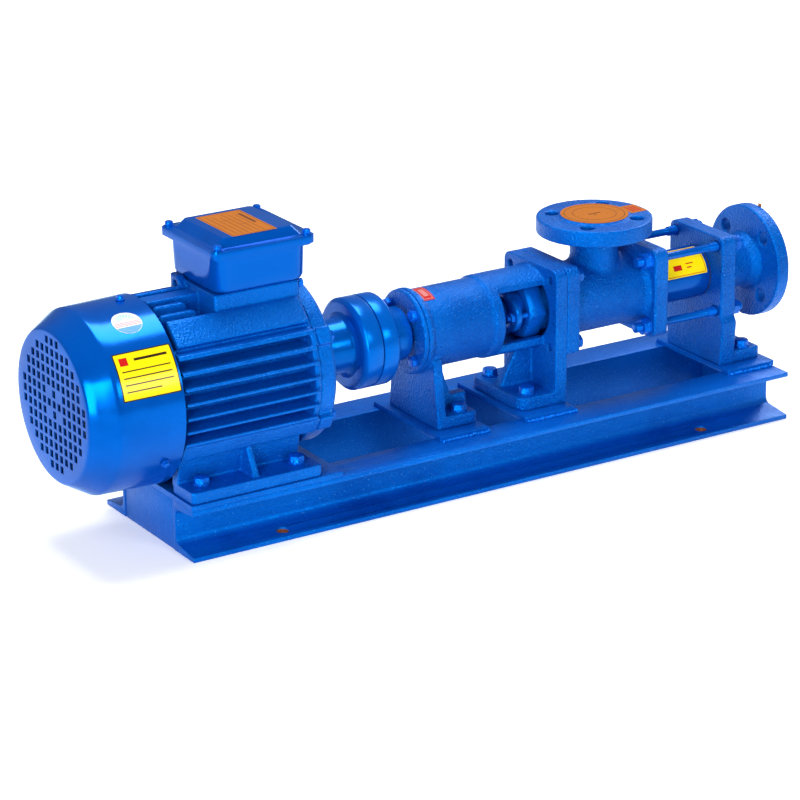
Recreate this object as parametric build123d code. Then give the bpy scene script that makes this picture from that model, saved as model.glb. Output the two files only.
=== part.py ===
from build123d import *
import os
from math import sin, cos, atan, radians, degrees, sqrt

# Progressive cavity pump set: a totally enclosed fan-cooled foot motor drives a
# single-screw pump through a jaw coupling, all on a base of two channel rails.
# Millimetres. +X from motor to outlet, +Y across, +Z up. All dimensions below are
# given from the motor end of the base; the written parts are moved so that the
# origin is the centre of the four base bolts, on the ground.

os.makedirs("parts", exist_ok=True)

# ---------------- driving dimensions ----------------
BASE_L, BASE_HW, BASE_H = 685.0, 86.5, 50.0      # length, half width, channel height
WEB_IN, WEB_T = 48.0, 4.5                         # back of web from centre plane, web thickness
BOLT_X, BOLT_Y, BOLT_D = (100.0, 585.0), 74.0, 12.0
ORIGIN_X = 342.5                                  # centre of base bolts
PLATE_T = 5.0
ZP = BASE_H + PLATE_T                             # top of the cross plates
ZC = 145.0                                        # height of the shaft line
MOTOR_B, MOTOR_A, MOTOR_FX = 100.0, 132.0, 21.0   # foot hole spacings, first foot hole
FLANGE_R, FLANGE_PCD, FLANGE_HOLE, FLANGE_T, FLANGE_TI = 57.5, 85.0, 14.0, 14.0, 16.0
RF_R, RF_T, PORT_R = 34.0, 2.0, 12.5              # raised face, port bore
INLET_X, INLET_Z = 503.4, 226.0                   # axis and sealing face of the inlet
OUTLET_X = 707.5                                  # sealing face of the outlet
SQ = 45.5                                         # half side of the square flanges
ROD = 34.0                                        # half pitch of tie rods and flange bolts
ECC, ROTOR_R, PITCH = 3.0, 10.0, 30.0             # eccentricity, rotor radius, rotor pitch
STATOR_X0, STATOR_X1 = 562.5, 630.0


def cx(x0, x1, r, y=0.0, z=ZC):
    return Plane(origin=(x0, y, z), x_dir=(0, 1, 0), z_dir=(1, 0, 0)) * extrude(Circle(r), x1 - x0)


def ring(x0, x1, r, ri, y=0.0, z=ZC):
    return cx(x0, x1, r, y, z) - cx(x0 - 1, x1 + 1, ri, y, z)


def cone_x(x0, x1, r0, r1, y=0.0, z=ZC):
    p = Plane(origin=(0, y, z), x_dir=(1, 0, 0), z_dir=(0, -1, 0))
    w = Polygon((x0, 0), (x1, 0), (x1, r1), (x0, r0), align=None)
    return p * revolve(w, Axis.X, 360)


def rev_x(pts, y=0.0, z=ZC):
    p = Plane(origin=(0, y, z), x_dir=(1, 0, 0), z_dir=(0, -1, 0))
    return p * revolve(Polygon(*pts, align=None), Axis.X, 360)


def rev_z(pts, x, y):
    return Pos(x, y, 0) * revolve(Plane.XZ * Polygon(*pts, align=None), Axis.Z, 360)


def cz(x, y, z0, z1, r):
    return Pos(x, y, z0) * extrude(Circle(r), z1 - z0)


def bx(x0, x1, y0, y1, z0, z1):
    return Pos((x0 + x1) / 2, (y0 + y1) / 2, (z0 + z1) / 2) * Box(x1 - x0, y1 - y0, z1 - z0)


def rbz(x0, x1, y0, y1, z0, z1, r):
    return Pos((x0 + x1) / 2, (y0 + y1) / 2, z0) * extrude(RectangleRounded(x1 - x0, y1 - y0, r), z1 - z0)


def sqx(x0, x1, h, r, y=0.0, z=ZC, hz=None):
    return Plane(origin=(x0, y, z), x_dir=(0, 1, 0), z_dir=(1, 0, 0)) * extrude(
        RectangleRounded(2 * h, 2 * (hz or h), r), x1 - x0)


def ccw(pts):
    # outline turned anticlockwise, so that it always extrudes the same way
    a = sum(p[0] * q[1] - q[0] * p[1] for p, q in zip(pts, pts[1:] + pts[:1]))
    return pts if a > 0 else pts[::-1]


def prof_x(x0, x1, pts):
    # pts are (y, z) pairs of an outline swept along X
    pts = ccw(list(pts))
    return Plane(origin=(x0, 0, 0), x_dir=(0, 1, 0), z_dir=(1, 0, 0)) * extrude(Polygon(*pts, align=None), x1 - x0)


def prof_y(y0, y1, pts):
    # pts are (x, z) pairs of an outline swept along Y
    pts = ccw(list(pts))
    return Plane(origin=(0, y1, 0), x_dir=(1, 0, 0), z_dir=(0, -1, 0)) * extrude(Polygon(*pts, align=None), y1 - y0)


def hexz(af, h, r_hole=0.0):
    # hexagon standing on z=0, chamfered at the top
    s = extrude(RegularPolygon(af / 2, 6, major_radius=False), h)
    rc = af / 2 * 1.155
    c = revolve(Plane.XZ * Polygon((0, -1), (rc + 1, -1), (rc + 1, h - 0.28 * rc), (0.9 * rc, h), (0, h), align=None), Axis.Z, 360)
    s = s & c
    if r_hole:
        s -= Pos(0, 0, -1) * Cylinder(r_hole, h + 2, align=(Align.CENTER, Align.CENTER, Align.MIN))
    return s


def bolt(d, af, k, L, washer=0.0, wr=0.0, spin=0.0):
    # head above z=0 on its washer, shank below
    s = Rot(0, 0, spin) * Pos(0, 0, washer) * hexz(af, k)
    if washer:
        s += extrude(Circle(wr), washer)
    s += Pos(0, 0, -L) * extrude(Circle(d / 2), L + 0.5)
    return s


def place(s, x, y, z, axis="z"):
    # turns the local +Z of a fastener to the named direction
    d = {"z": Rot(0, 0, 0), "-z": Rot(180, 0, 0), "x": Rot(0, 90, 0), "-x": Rot(0, -90, 0),
         "y": Rot(-90, 0, 0), "-y": Rot(90, 0, 0)}[axis]
    return Pos(x, y, z) * d * s


def solids(*parts):
    out = []
    for p in parts:
        out += list(p.solids())
    return out


def soft(s, edges, *radii):
    # rounds the edges with the largest of the radii that works
    for r in radii:
        try:
            n = s.fillet(r, edges) if hasattr(s, "fillet") else fillet(edges, r)
            if n.is_valid and abs(n.volume) > 0:
                return n
        except Exception:
            continue
    return s


WRITTEN = {}


def write(node, *parts):
    ss = solids(*parts)
    shape = Compound(children=[s.moved(Location((-ORIGIN_X, 0, 0))) for s in ss]) if len(ss) > 1 else ss[0].moved(Location((-ORIGIN_X, 0, 0)))
    export_step(shape, f"parts/{node}.step")
    WRITTEN[node] = (len(ss), sum(s.volume for s in ss))


# ================= base =================
def rail(side):
    # channel with sloped flanges turned outwards, back of the web inwards
    a, b = WEB_IN, BASE_HW
    w = a + WEB_T
    low = [(w + 7 - 7 * sin(radians(t)), 15 - 7.4 * cos(radians(t))) for t in range(0, 91, 15)]
    pts = [(a, 0), (b, 0), (b, 4.6)] + low + [(y, BASE_H - z) for y, z in reversed(low)] + [(b, BASE_H - 4.6), (b, BASE_H), (a, BASE_H)]
    s = prof_x(0, BASE_L, [(side * y, z) for y, z in pts])
    for x in BOLT_X:
        s -= cz(x, side * BOLT_Y, -1, 9, BOLT_D / 2)
    for x in (MOTOR_FX, MOTOR_FX + MOTOR_B):
        s -= cz(x, side * MOTOR_A / 2, 40, 51, 4.6)
    return s


write("rail_front", rail(-1))
write("rail_rear", rail(1))
write("end_plates", *[bx(x0, x0 + 5, -WEB_IN, WEB_IN, 0, BASE_H) for x0 in (0.6, BASE_L - 5.6)])


def cross_plate(x0, x1, hw, holes):
    s = rbz(x0, x1, -hw, hw, BASE_H, ZP, 1.5)
    for x, y, r in holes:
        s -= cz(x, y, 40, 60, r)
    return s


FEET = {"pedestal": (283.0, 338.5, 321.5, 34.0), "bracket": (381.5, 440.0, 401.5, 32.0), "outlet": (628.5, 687.0, 665.0, 34.0)}
MF = [(x, y) for x in (MOTOR_FX, MOTOR_FX + MOTOR_B) for y in (-MOTOR_A / 2, MOTOR_A / 2)]
write("motor_mount_plate", cross_plate(0, 160, BASE_HW - 0.6, [(x, y, 4.6) for x, y in MF]))
for k, (x0, x1, xb, yb) in FEET.items():
    write(f"cross_plate_{k}", cross_plate(x0, x1, 61.0, [(xb, yb, 4.0), (xb, -yb, 4.0)]))

# ================= motor =================
FX0, FX1 = -2.0, 141.0                            # cast frame
R_IN, R_BAR, R_ENV = 59.0, 67.0, 87.0
frame = ring(FX0, FX1, R_BAR, R_IN)
fins = []
for k in range(-3, 4):
    zf = ZC + 7 + 13.5 * k
    for sgn in (-1, 1):
        w = prof_x(FX0 + 1, FX1, [(sgn * 40, zf - 3.0), (sgn * 90, zf - 1.3), (sgn * 90, zf + 1.3), (sgn * 40, zf + 3.0)])
        fins.append(w)


def short_fin(x0, x1, y0, y1, top, r):
    # fin with both upper ends rounded
    n = 6
    a = [(x0 + r - r * cos(radians(90 * i / n)), top - r + r * sin(radians(90 * i / n))) for i in range(n + 1)]
    b = [(x1 - r + r * sin(radians(90 * i / n)), top - r + r * cos(radians(90 * i / n))) for i in range(n + 1)]
    return prof_y(y0, y1, [(x0, ZC + 50)] + a + b + [(x1, ZC + 50)])


# short fins each side of a flat-topped middle rib, in front of the terminal boss
for y0, y1, x0, x1 in ((-36.0, -30.5, 0.0, 38.0), (-23.5, -18.0, 0.5, 34.0), (18.0, 23.5, 0.5, 34.0), (30.5, 36.0, 0.0, 38.0)):
    fins.append(short_fin(x0, x1, y0, y1, ZC + sqrt(86.0 ** 2 - max(abs(y0), abs(y1)) ** 2) - 1.0, 5.0))
fins.append(bx(FX0 + 1, 60, -13.0, 4.5, ZC + 50, ZC + 84.3))
fins.append(bx(FX0 + 1, 60, 8.5, 13.0, ZC + 50, ZC + 85.5))
for yf in (-13.5, 0.0, 13.5):
    fins.append(prof_x(FX0 + 1, FX1, [(yf - 2.2, ZC - 50), (yf + 2.2, ZC - 50), (yf + 1.3, ZC - 78), (yf - 1.3, ZC - 78)]))
for sgn in (-1, 1):
    fins.append(prof_x(FX0 + 4, FX1, [(sgn * 38, ZC + 50), (sgn * 44, ZC + 74.5), (sgn * 46.5, ZC + 74.0), (sgn * 66, ZC + 56), (sgn * 50, ZC + 44)]))
    fins.append(prof_x(FX0 + 1, FX1, [(sgn * 40, ZC - 44), (sgn * 77, ZC - 37), (sgn * 70, ZC - 51), (sgn * 44, ZC - 57)]))
finset = fins[0]
for f in fins[1:]:
    finset += f
finset = finset & cx(FX0 - 1, FX1 - 3, R_ENV)
finset += ring(FX1 - 6, FX1, 81.5, R_IN + 2)
frame += finset - cx(FX0 - 2, FX1 + 2, R_BAR - 1.5)
# terminal boss: a flat-topped cast neck with a wire hole down into the bore
BOXX, BOXW = 101.8, 47.0
boss = rbz(BOXX - 49.3, BOXX + 40, -43, 43, ZC + 40, ZC + 89, 3) - cx(0, 200, R_BAR - 1.5) - cx(FX1, FX1 + 20, 81.7)
frame += boss
frame -= cz(BOXX, 0, ZC + 40, ZC + 92, 14)
EARTH = (141.8, -37.5, ZC + 84.3)
frame -= cx(EARTH[0] - 12, EARTH[0] + 1, 2.4, EARTH[1], EARTH[2])
# feet with inclined walls and a middle rib
for sgn in (-1, 1):
    frame += rbz(2, 139, min(sgn * 84, sgn * 44), max(sgn * 84, sgn * 44), ZP, ZP + 11.5, 4)
    frame += prof_x(2, 129, [(sgn * 45, ZP + 8), (sgn * 54, ZP + 8), (sgn * 62, ZC - 48), (sgn * 45, ZC - 44)])
    frame += prof_x(68, 74.5, [(sgn * 50, ZP + 8), (sgn * 80.5, ZP + 8), (sgn * 80.5, ZP + 11), (sgn * 62.5, ZC - 46), (sgn * 50, ZC - 44)])
# lifting lug against the boss
frame += (bx(46, 54.4, 12, 28, ZC + 60, ZC + 85) + Pos(50.2, 20, ZC + 85) * Rot(0, 90, 0) * Cylinder(8, 8.4)) - Pos(50.2, 20, ZC + 85) * Rot(0, 90, 0) * Cylinder(3.2, 9.5) - cx(40, 60, R_BAR - 1.5)
for x, y in MF:
    frame -= cz(x, y, 50, 67, 5.0)
    frame -= cz(x, y, ZP + 11.5, ZP + 24, 9.0)
# spigot recesses and tapped holes for the end shields
DS_R, DS_A, FS_R, FS_A = 75.5, (30, 150, 210, 330), 63.0, (0, 90, 180, 270)


def around(r, angles):
    return [(r * cos(radians(a)), ZC + r * sin(radians(a))) for a in angles]


def lug(x0, x1, a, hw, r1):
    return Pos(0, 0, ZC) * Rot(a, 0, 0) * Pos(0, 0, -ZC) * rbz(x0, x1, 60, r1, ZC - hw, ZC + hw, 1.5)


for a in DS_A:
    frame += lug(FX1 - 7, FX1, a, 8, 86.5) - cx(FX1 - 20, FX1 + 1, R_BAR - 1)
for y, z in around(DS_R, DS_A):
    frame -= cx(FX1 - 8, FX1 + 1, 2.9, y, z)
for y, z in around(FS_R, FS_A):
    frame -= cx(FX0 - 1, FX0 + 18, 2.1, y, z)
write("motor_frame", frame)

write("stator_core", ring(36, 104, R_IN, 38.5))
write("stator_windings", ring(16, 35.6, 55, 41), ring(104.4, 124, 55, 41))

# drive end shield: bolted ring, domed face, hub
de = rev_x([(FX1, 80.5), (FX1 + 15, 80.5), (FX1 + 17.5, 78.0), (FX1 + 20, 64), (FX1 + 26, 48), (FX1 + 31, 37), (FX1 + 36.2, 34.5), (FX1 + 36.2, 12.6), (FX1 + 31, 12.6),
            (FX1 + 31, 26), (FX1 + 15, 26), (FX1 + 15, 16), (FX1 + 11, 16), (FX1 + 11, 36), (FX1 + 5.3, 54.5), (FX1 - 6, 54.5), (FX1 - 6, 58.6), (FX1, 58.6)])
for a in DS_A:
    de += lug(FX1, FX1 + 15, a, 8, 86.5) - cx(FX1 - 1, FX1 + 16, 62)
for y, z in around(DS_R, DS_A):
    de -= cx(FX1 - 1, FX1 + 20, 3.4, y, z)
    de -= cx(FX1 + 15, FX1 + 22, 7.0, y, z)
write("drive_end_shield", de)
fs = rev_x([(FX0, 78), (FX0 - 9, 78), (FX0 - 12, 74), (FX0 - 20, 50), (FX0 - 28, 30), (FX0 - 28, 9.8), (FX0 - 24, 9.8), (FX0 - 24, 20.0), (FX0 - 9, 20.0), (FX0 - 9, 25.5), (FX0 - 19, 30), (FX0 - 13.5, 47),
            (FX0 - 6, 54.5), (FX0 + 6, 54.5), (FX0 + 6, 58.6), (FX0, 58.6)])
for y, z in around(FS_R, FS_A):
    fs -= cx(FX0 - 30, FX0 + 1, 2.7, y, z)
    fs -= cx(FX0 - 30, FX0 - 11, 6.2, y, z)
write("fan_end_shield", fs)
write("drive_shield_bolts", *[place(bolt(5.6, 10, 4, 21, 1.2, 5.6, 15), FX1 + 15, y, z, "x") for y, z in around(DS_R, DS_A)])
write("fan_shield_bolts", *[place(bolt(4.0, 8, 3.2, 22, 1.0, 4.6, 15), FX0 - 11, y, z, "-x") for y, z in around(FS_R, FS_A)])

# rotating group of the motor
shaft = cx(-66, -36, 8) + cx(-36, 4, 9.5) + cx(4, 20, 12) + cx(20, 112, 14) + cx(112, FX1 + 14, 13.5) + cx(FX1 + 14, 226, 12)
shaft -= bx(186, 222, -4, 4, ZC + 8, ZC + 14)
write("motor_shaft", shaft)
write("rotor_core", ring(36, 104, 38.0, 14.0) + ring(30, 110, 33, 14.0))
write("motor_key", bx(186.3, 221.7, -3.95, 3.95, ZC + 8.0, ZC + 15.0))
write("bearing_drive_end", ring(FX1 + 15.2, FX1 + 30.8, 26.0, 12.06))
write("bearing_fan_end", ring(FX0 - 23.8, FX0 - 9.4, 20.0, 9.56))
fan = ring(-62, -36.5, 15, 8.0) + ring(-42, -38, 66, 14)
for i in range(6):
    fan += Pos(0, 0, ZC) * Rot(60 * i, 0, 0) * Pos(0, 0, -ZC) * bx(-62, -41, -1.6, 1.6, ZC + 14, ZC + 66)
write("cooling_fan", fan)

# fan cover: pressed shell, conical end and a flat face with square holes
CX0, CXE, CX1, CR0, CRE, CR1, CT, CZ = -93.0, -68.0, -4.3, 73.0, 87.0, 88.4, 1.6, -1.0   # CZ: the cover hangs slightly low
cover = rev_x([(CX0, 0), (CX0, CR0 - 3.4), (CX0 + 0.5, CR0 - 1.3), (CX0 + 1.8, CR0), (CXE - 2.5, CRE - 1.5), (CXE - 0.5, CRE - 0.4), (CXE + 1.5, CRE), (CX1, CR1), (CX1, CR1 - CT), (CXE + 1.5, CRE - CT), (CXE - 1, CRE - CT - 1.2), (CX0 + 3.0, CR0 - CT - 0.6),
               (CX0 + CT + 0.6, CR0 - 3.6), (CX0 + CT, CR0 - 5.0), (CX0 + CT, 0)])
holes = []
PY, PZ, GY, GZ = 9.85, 9.95, -3.6, 3.0            # grid pitch and its small offset from the axis
for j in range(-6, 7):
    n = (6, 6, 5, 5, 4, 3, 1)[abs(j)]
    for i in range(-n, n + 1):
        if (abs(i), abs(j)) != (1, 1):              # four squares round the middle stay closed
            holes.append((GY + i * PY, GZ + j * PZ))
cut = Plane(origin=(CX0 - 1, 0, ZC), x_dir=(0, 1, 0), z_dir=(1, 0, 0)) * extrude(Sketch() + [Pos(y, z) * Rectangle(6.0, 7.0) for y, z in holes], 6)
cover -= cut
CS = [(-21.0, a) for a in (90.0, 210.0, 330.0)]
for x, a in CS:
    y, z = cos(radians(a)), sin(radians(a))
    hole = Pos(x, 0, ZC) * Rot(a - 90, 0, 0) * Pos(0, 0, CR1 - 4) * extrude(Circle(2.3), 8)
    cover -= hole
cover = Pos(0, 0, CZ) * cover
write("fan_cover", cover)
scr = []
for x, a in CS:
    s = extrude(Circle(1.9), 7.5) + Pos(0, 0, 6.0) * (extrude(Circle(4.2), 1.4) + Pos(0, 0, 1.4) * Rot(0, 0, 15) * extrude(RegularPolygon(3.2, 6), 2.6))
    scr.append(Pos(x, 0, ZC + CZ) * Rot(a - 90, 0, 0) * Pos(0, 0, CR1 - 5.9) * s)
write("fan_cover_screws", *scr)

# bolts through the motor feet and the rail flanges, with nuts below
mb = []
for x, y in MF:
    mb.append(place(bolt(8, 13, 5.5, 27, 1.8, 8.0, 12), x, y, ZP + 11.5))
write("motor_foot_bolts", *mb)

# terminal box
ZB = ZC + 89
GLY, GLZ = 10.0, ZB + 17
box = Pos(BOXX, 0, ZB) * loft([RectangleRounded(87, 83, 11), Pos(0, 0, 1.8) * RectangleRounded(92.4, 88.4, 12.5)])
box += Pos(BOXX, 0, ZB + 1.8) * loft([RectangleRounded(92.4, 88.4, 12.5), Pos(0, 0, 3.4) * RectangleRounded(95, 91, 13)])
box += Pos(BOXX, 0, ZB + 5.2) * loft([RectangleRounded(95, 91, 13), Pos(0, 0, 29.8) * RectangleRounded(97, 93, 13)])
box -= Pos(BOXX, 0, ZB + 3) * loft([RectangleRounded(86, 82, 9), Pos(0, 0, 33) * RectangleRounded(91, 87, 10)])
ears = [(BOXX + sx * 46.4, sy * 45.8) for sx in (-1, 1) for sy in (-1, 1)]
rim = rbz(BOXX - 50.5, BOXX + 50.5, -49.5, 49.5, ZB + 34, ZB + 38, 5)
rim -= rbz(BOXX - 44.5, BOXX + 44.5, -42.5, 42.5, ZB + 30, ZB + 40, 9)
box += rim
for x, y in ears:
    box -= cz(x, y, ZB + 30, ZB + 40, 1.5)
box -= cz(BOXX, 0, ZB - 1, ZB + 5, 14)
box -= Pos(BOXX + 46, GLY, GLZ) * Rot(0, 90, 0) * Cylinder(9.0, 16)
write("terminal_box", box)
gk = rbz(BOXX - 50, BOXX + 50, -49, 49, ZB + 38, ZB + 39.4, 5) - rbz(BOXX - 44.5, BOXX + 44.5, -42.5, 42.5, ZB + 35, ZB + 42, 9)
for x, y in ears:
    gk -= cz(x, y, ZB + 30, ZB + 42, 1.9)
write("terminal_gasket", gk)
ZL0, ZL1, ZL2 = ZB + 36.0, ZB + 43.2, ZB + 51.2    # lower and upper edge of the lid rim, top of the lid
lid = rbz(BOXX - 53.7, BOXX + 53.5, -52.5, 52.5, ZL0, ZL1, 8)
for x, y in ears:
    lid += cz(x, y, ZL0, ZL1 + 0.8, 5.4)
lid += Pos(BOXX, 0, ZL1) * loft([RectangleRounded(88, 86, 6), Pos(0, 0, ZL2 - ZL1) * RectangleRounded(72, 76, 4)])
lid -= rbz(BOXX - 50.9, BOXX + 50.9, -49.9, 49.9, ZL0 - 1, ZB + 39.4, 5.4)
lid -= Pos(BOXX, 0, ZB + 39.3) * loft([RectangleRounded(84, 82, 6), Pos(0, 0, 9.7) * RectangleRounded(70, 73, 4)])
for x, y in ears:
    lid -= cz(x, y, ZL0 - 2, ZL1 + 4, 1.9)
write("terminal_lid", lid)
ls = []
for x, y in ears:
    s = extrude(Circle(3.8), 3.4) + Pos(0, 0, 3.4) * extrude(Circle(3.2), 0.8) + Pos(0, 0, -8.6) * extrude(Circle(1.5), 9)
    s -= Pos(0, 0, 2.8) * (Box(9, 0.9, 3, align=(Align.CENTER, Align.CENTER, Align.MIN)))
    ls.append(Pos(x, y, ZL1 + 0.8) * s)
write("lid_screws", *ls)
write("earth_screw", place(bolt(4.4, 8, 3.6, 11, 1.2, 4.6, 10), *EARTH, "x"))
tb = rbz(BOXX - 26, BOXX + 26, -20, 16, ZB + 3, ZB + 14, 3)
tbs = []
for i in (-16, 0, 16):
    for j in (-11, 7):
        tb -= cz(BOXX + i, j, ZB + 6, ZB + 20, 2.0)
        tbs.append(Pos(BOXX + i, j, 0) * (cz(0, 0, ZB + 6, ZB + 24, 2.0) + Pos(0, 0, ZB + 14) * hexz(7, 3.2)))
write("terminal_block", tb)
write("terminal_studs", *tbs)
cg = cx(BOXX + 39, BOXX + 49, 8.95, GLY, GLZ) + Plane(origin=(BOXX + 48.4, GLY, GLZ), x_dir=(0, 1, 0), z_dir=(1, 0, 0)) * hexz(22, 4.5) + cx(BOXX + 52, BOXX + 60, 9.0, GLY, GLZ)
cg -= cx(BOXX + 30, BOXX + 70, 5.0, GLY, GLZ)
write("cable_gland", cg)

# ================= coupling =================
JX = 231.5
def jaws(x0, x1, a0, half):
    out = None
    for i in range(3):
        a = a0 + 120 * i
        seg = Plane(origin=(x0, 0, ZC), x_dir=(0, 1, 0), z_dir=(1, 0, 0)) * extrude(
            make_face(Polyline((13.5 * cos(radians(a - half)), 13.5 * sin(radians(a - half))),
                               (40 * cos(radians(a - half)), 40 * sin(radians(a - half))),
                               (46 * cos(radians(a)), 46 * sin(radians(a))),
                               (40 * cos(radians(a + half)), 40 * sin(radians(a + half))),
                               (13.5 * cos(radians(a + half)), 13.5 * sin(radians(a + half))), close=True)), x1 - x0)
        out = seg if out is None else out + seg
    return out


hm = rev_x([(178.5, 12), (178.5, 25.5), (180, 27), (206, 27), (209, 28.5), (211.5, 32), (211.5, 41), (215, 44.8), (JX - 0.7, 44.8), (JX - 0.7, 34.0), (220, 34.0), (220, 12)])
hm += jaws(219.5, 243.2, 90, 21) & cx(200, 260, 32.0)
hm -= bx(170, 226.3, -4, 4, ZC + 8, ZC + 15.2)
hm -= cx(170, 226.3, 12.0)
write("coupling_half_motor", hm)
hp = rev_x([(JX + 0.7, 44.8), (248, 44.8), (251.5, 41), (251.5, 32), (254, 28.5), (257, 26.5), (273.8, 26.5), (275.3, 25), (275.3, 10), (244, 10), (244, 34.0), (JX + 0.7, 34.0)])
hp += jaws(219.9 + 0.0, 244.5, 150, 21) & cx(200, 260, 32.0) & bx(220.4, 260, -60, 60, 0, 300)
hp -= bx(250, 276, -3, 3, ZC + 6, ZC + 12.6)
write("coupling_half_pump", hp)
sp = ring(227, 243, 12.1, 8)
for i in range(6):
    a = 30 + 60 * i + 30
    sp += Pos(0, 0, ZC) * Rot(a, 0, 0) * Pos(0, 0, -ZC) * bx(227, 243, 12.0, 31.5, ZC - 1.7, ZC + 1.7)
write("coupling_spider", sp)

# ================= bearing bracket =================
BB0 = 284.0
BR, SEAT = 26.0, 12.5                             # bearing outer and bore radius
WX, WZ0, WZ1, WY = 372.0, 119.5, 172.3, 25.0      # gland window: first X, lower and upper edge, flat side of the bridge
body = rev_x([(BB0, BR), (BB0, 42), (BB0 + 5, 42), (BB0 + 8, 39.2), (360, 39.2), (362.5, 41.3), (432, 41.3), (432, 31), (WX, 31), (WX, 21), (366, 21), (366, BR), (342, BR), (339, 29), (315, 29), (312, BR)])
body -= bx(WX, 427, -60, 60, WZ0, WZ1)
for s_ in (-1, 1):
    body -= bx(WX, 433, min(s_ * WY, s_ * 60), max(s_ * WY, s_ * 60), 90, 200)
BF0, BF1 = 427.0, 440.5
fl = sqx(BF0, BF1, SQ, 9)
brk = body + fl
# wide foot below the square flange with one middle rib
brk += rbz(386, BF1, -SQ, SQ, ZP, ZP + 12.5, 12)
brk += prof_x(BF0, BF1, [(-SQ, ZP), (SQ, ZP), (SQ, 120), (-SQ, 120)])
brk += prof_y(-4, 5, [(BF0 + 1, ZP + 8), (BF0 + 1, 108), (410.5, 108), (388, ZP + 8)])
# pedestal below the bearing end: cross wall, foot and two ribs
brk += prof_x(291, 301, [(-45, ZP), (45, ZP), (37, 122), (30, 130), (-30, 130), (-37, 122)]) - cx(280, 320, 30)
brk += rbz(291, 336.5, -45, 45, ZP, ZP + 12.0, 5)
for y0, y1 in ((-24.0, -13.0), (13.0, 24.0)):
    brk += prof_y(y0, y1, [(296, ZP + 8), (296, 117), (303, 117), (308, 113), (312.7, 97.5), (318.9, 80.3), (336.5, 80.3), (336.5, ZP + 8)])
brk -= cx(BF0, BF1 + 1, 33.0)
brk -= cx(BB0 - 2, 312, BR)
for k in ("pedestal", "bracket"):
    x0, x1, xb, yb = FEET[k]
    for s_ in (-1, 1):
        brk -= cz(xb, s_ * yb, 50, 80, 4.5) + cz(xb, s_ * yb, ZP + (12.5 if k == "bracket" else 12.0), ZP + 22, 9.6)
QB = [(sy * ROD, sz * ROD) for sy in (-1, 1) for sz in (-1, 1)]
for y, z in QB:
    brk -= cx(BF0 - 1, BF1 + 1, 4.0, y, ZC + z)
CBR = 32.2
for a in (45, 135, 225, 315):
    brk -= cx(BB0 - 1, BB0 + 14, 2.5, CBR * cos(radians(a)), ZC + CBR * sin(radians(a)))
write("bearing_bracket", brk)
CF = 279.0                                        # outer face of the bearing cover
bc = rev_x([(CF, 13), (CF, 39.5), (CF + 1.5, 41.5), (BB0 - 0.3, 41.5), (BB0 - 0.3, BR - 0.1), (BB0 + 8, BR - 0.1), (BB0 + 8, 21), (BB0, 21), (BB0, 16), (BB0 - 2, 16), (BB0 - 2, 13)])
for a in (45, 135, 225, 315):
    bc -= cx(270, 290, 3.0, CBR * cos(radians(a)), ZC + CBR * sin(radians(a)))
write("bearing_cover", bc)
write("bearing_cover_bolts", *[place(bolt(5.0, 10, 4.2, 16, 1.0, 5.4, 10 + a), CF, CBR * cos(radians(a)), ZC + CBR * sin(radians(a)), "-x") for a in (45, 135, 225, 315)])
write("pump_bearings", ring(BB0 + 8.4, BB0 + 23.4, BR, SEAT + 0.06), ring(350.6, 365.6, BR, SEAT + 0.06))
write("bearing_spacer", ring(BB0 + 23.8, 350.2, BR - 0.1, 22.5))

# drive shaft with hollow end for the rod joint
ds = cx(246, 281, 10) + cx(281, 408, SEAT) + cx(408, 474, 12)
ds += cx(455, 476, 15.5)
ds -= cx(458.6, 478, 9.6)
ds -= bx(250.4, 276, -3, 3, ZC + 6.2, ZC + 11)
ds -= Pos(468, 0, ZC) * Rot(90, 0, 0) * Cylinder(4.2, 50)
write("drive_shaft", ds)
write("pump_key", bx(250.8, 275.0, -2.95, 2.95, ZC + 6.2, ZC + 12.3))

# stuffing box: hexagon body screwed into the suction casing, packing and gland
sb = Plane(origin=(408, 0, ZC), x_dir=(0, 1, 0), z_dir=(1, 0, 0)) * extrude(RegularPolygon(26.5, 6, major_radius=False), 18)
sb = sb & rev_x([(408, 0), (408, 27.5), (410.5, 30.2), (426, 30.2), (426, 0)])
sb += cx(426, 440.2, 26.0)
sb -= cx(407, 436, 19.5) + cx(430, 445, 12.6)
for sy in (-1, 1):
    sb -= cx(406, 420, 2.6, sy * 23.2, ZC)
write("stuffing_box", sb)
write("packing_rings", *[ring(x, x + 5.5, 19.4, 12.06) for x in (417.0, 423.0, 429.0)])
gf = Plane(origin=(392, 0, ZC), x_dir=(0, 1, 0), z_dir=(1, 0, 0)) * extrude(SlotOverall(60, 34) + Circle(22), 6)
gf += cx(397, 416.6, 19.3)
gf -= cx(390, 420, 12.6)
for sy in (-1, 1):
    gf -= cx(390, 399, 3.2, sy * 23.2, ZC)
gf -= cx(391, 413.5, 15.0)
write("gland_follower", gf)
write("gland_studs", *[cx(384, 419.5, 2.6, sy * 23.2, ZC) for sy in (-1, 1)])
write("gland_nuts", *[place(hexz(9, 4.5, 2.75), 391.8, sy * 23.2, ZC, "-x") for sy in (-1, 1)])

# ================= suction casing =================
S0, S1 = BF1, 456.0
T0, T1 = 546.0, STATOR_X0
sc = sqx(S0, S1, SQ, 9) + sqx(T0, T1, SQ, 9) + cx(S1 - 1, T0 + 1, 36.5)
neck = rev_z([(0, ZC), (24.3, ZC), (24.0, ZC + 58.5), (25.0, ZC + 61), (27.4, INLET_Z - RF_T - FLANGE_TI), (FLANGE_R, INLET_Z - RF_T - FLANGE_TI), (FLANGE_R, INLET_Z - RF_T), (RF_R, INLET_Z - RF_T),
              (RF_R, INLET_Z), (0, INLET_Z)], INLET_X, 0)
sc += neck
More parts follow.
